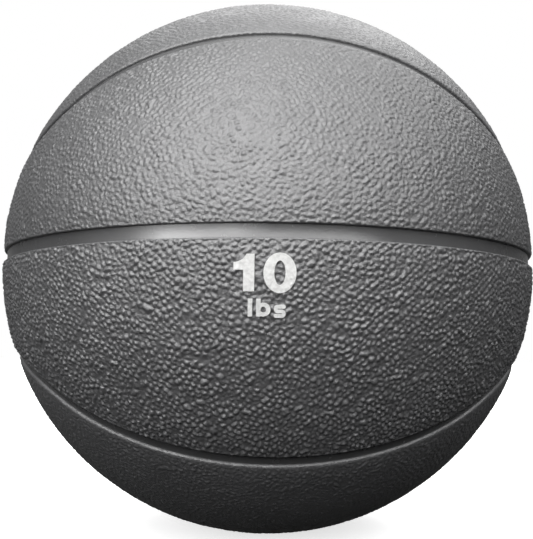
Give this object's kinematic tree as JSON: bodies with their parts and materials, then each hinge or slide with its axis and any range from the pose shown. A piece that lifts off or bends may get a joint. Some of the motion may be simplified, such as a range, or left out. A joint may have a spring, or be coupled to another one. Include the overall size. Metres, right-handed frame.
{
  "type": "medicine ball",
  "caption": "Channelled rubber medicine ball with pebbled cover panels, smooth recessed channels, a white weight mark and a self-sealing inflation valve.",
  "frame": {"origin": "centre of the ball", "axes": "the straight channel lies in the XY plane, the curved channels loop round the +Z and -Z poles, the cross channel lies in the XZ plane, and the weight mark faces -Y"},
  "size_m": [0.2298, 0.2298, 0.2298],
  "materials": {
    "cover_rubber": "moulded pebble grain, satin",
    "channel_rubber": "smooth, semi-gloss",
    "mark_ink": "screen-printed, matt white",
    "ply_rubber": "plain",
    "weighted_rubber": "mineral filled, dull",
    "nylon_thread": "wound thread set in latex",
    "butyl_rubber": "smooth",
    "boot_rubber": "smooth, satin",
    "plug_rubber": "smooth, satin"
  },
  "bodies": {
    "root": {"front_upper_belt_panel": "cover_rubber", "front_upper_cap_panel": "cover_rubber", "front_lower_belt_panel": "cover_rubber", "front_lower_cap_panel": "cover_rubber", "back_upper_belt_panel": "cover_rubber", "back_upper_cap_panel": "cover_rubber", "back_lower_belt_panel": "cover_rubber", "back_lower_cap_panel": "cover_rubber", "straight_channel_strip": "channel_rubber", "upper_curved_channel_strip": "channel_rubber", "lower_curved_channel_strip": "channel_rubber", "upper_cap_cross_channel_strip": "channel_rubber", "lower_cap_cross_channel_strip": "channel_rubber", "left_upper_cross_channel_strip": "channel_rubber", "left_lower_cross_channel_strip": "channel_rubber", "right_upper_cross_channel_strip": "channel_rubber", "right_lower_cross_channel_strip": "channel_rubber", "weight_mark_number": "mark_ink", "weight_mark_unit": "mark_ink", "carcass_ply": "ply_rubber", "upper_weighted_shell": "weighted_rubber", "lower_weighted_shell": "weighted_rubber", "thread_winding": "nylon_thread", "butyl_bladder": "butyl_rubber", "valve_boot": "boot_rubber", "valve_plug": "plug_rubber"}
  },
  "joints": []
}
